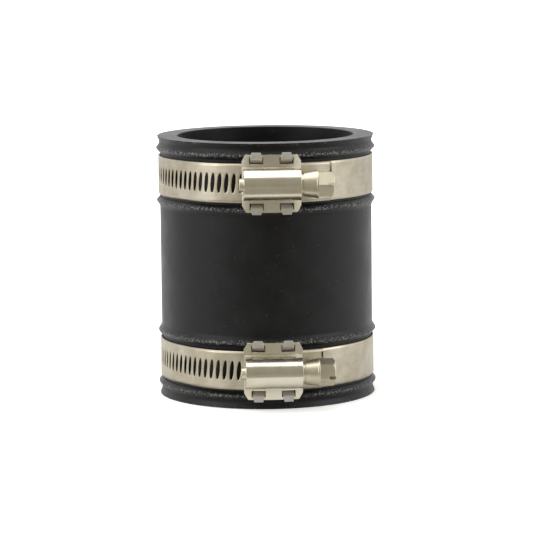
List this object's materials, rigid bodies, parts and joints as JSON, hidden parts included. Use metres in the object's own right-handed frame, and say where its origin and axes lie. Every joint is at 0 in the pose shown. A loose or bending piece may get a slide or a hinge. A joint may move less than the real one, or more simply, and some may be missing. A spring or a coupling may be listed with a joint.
{
  "type": "flexible pipe coupling",
  "caption": "Ribbed black rubber sleeve for joining pipe ends, held by stainless worm-drive band clamps with slotted hexagon screws.",
  "frame": {"origin": "centre of the bore in the lower end face", "axes": "+Z along the bore, -Y towards the side where the clamp heads are, +X towards the screws' hexagons"},
  "size_m": [0.075, 0.0845, 0.0889],
  "materials": {
    "rubber": "matt moulded",
    "band_steel": "satin stainless strip",
    "housing_steel": "polished stainless pressing",
    "saddle_steel": "dull sheared stainless",
    "screw_steel": "bright cold-headed steel"
  },
  "bodies": {
    "sleeve": {"rubber_sleeve": "rubber"},
    "upper_clamp_head": {"upper_housing": "housing_steel", "upper_saddle": "saddle_steel"},
    "upper_clamp_band": {"upper_band": "band_steel"},
    "upper_clamp_screw": {"upper_screw": "screw_steel"},
    "lower_clamp_head": {"lower_housing": "housing_steel", "lower_saddle": "saddle_steel"},
    "lower_clamp_band": {"lower_band": "band_steel"},
    "lower_clamp_screw": {"lower_screw": "screw_steel"}
  },
  "joints": [
    {"name": "upper_clamp_swivel", "type": "hinge", "parent": "sleeve", "child": "upper_clamp_head", "pos_m": [0, 0, 0.0758], "axis": [0, 0, 1], "continuous": true},
    {"name": "upper_screw_turn", "type": "hinge", "parent": "upper_clamp_head", "child": "upper_clamp_screw", "pos_m": [0, -0.0418, 0.0758], "axis": [-1, 0, 0], "range_deg": [-720, 1080]},
    {"name": "upper_band_feed", "type": "hinge", "parent": "upper_clamp_head", "child": "upper_clamp_band", "pos_m": [0, 0, 0.0758], "axis": [0, 0, 1], "range_deg": [-7.6, 11.4]},
    {"name": "lower_clamp_swivel", "type": "hinge", "parent": "sleeve", "child": "lower_clamp_head", "pos_m": [0, 0, 0.0131], "axis": [0, 0, 1], "continuous": true},
    {"name": "lower_screw_turn", "type": "hinge", "parent": "lower_clamp_head", "child": "lower_clamp_screw", "pos_m": [0, -0.0418, 0.0131], "axis": [-1, 0, 0], "range_deg": [-720, 1080]},
    {"name": "lower_band_feed", "type": "hinge", "parent": "lower_clamp_head", "child": "lower_clamp_band", "pos_m": [0, 0, 0.0131], "axis": [0, 0, 1], "range_deg": [-7.6, 11.4]}
  ],
  "couplings": [
    {"joint": "upper_band_feed", "follows": "upper_screw_turn", "ratio": 0.010526},
    {"joint": "lower_band_feed", "follows": "lower_screw_turn", "ratio": 0.010526}
  ]
}
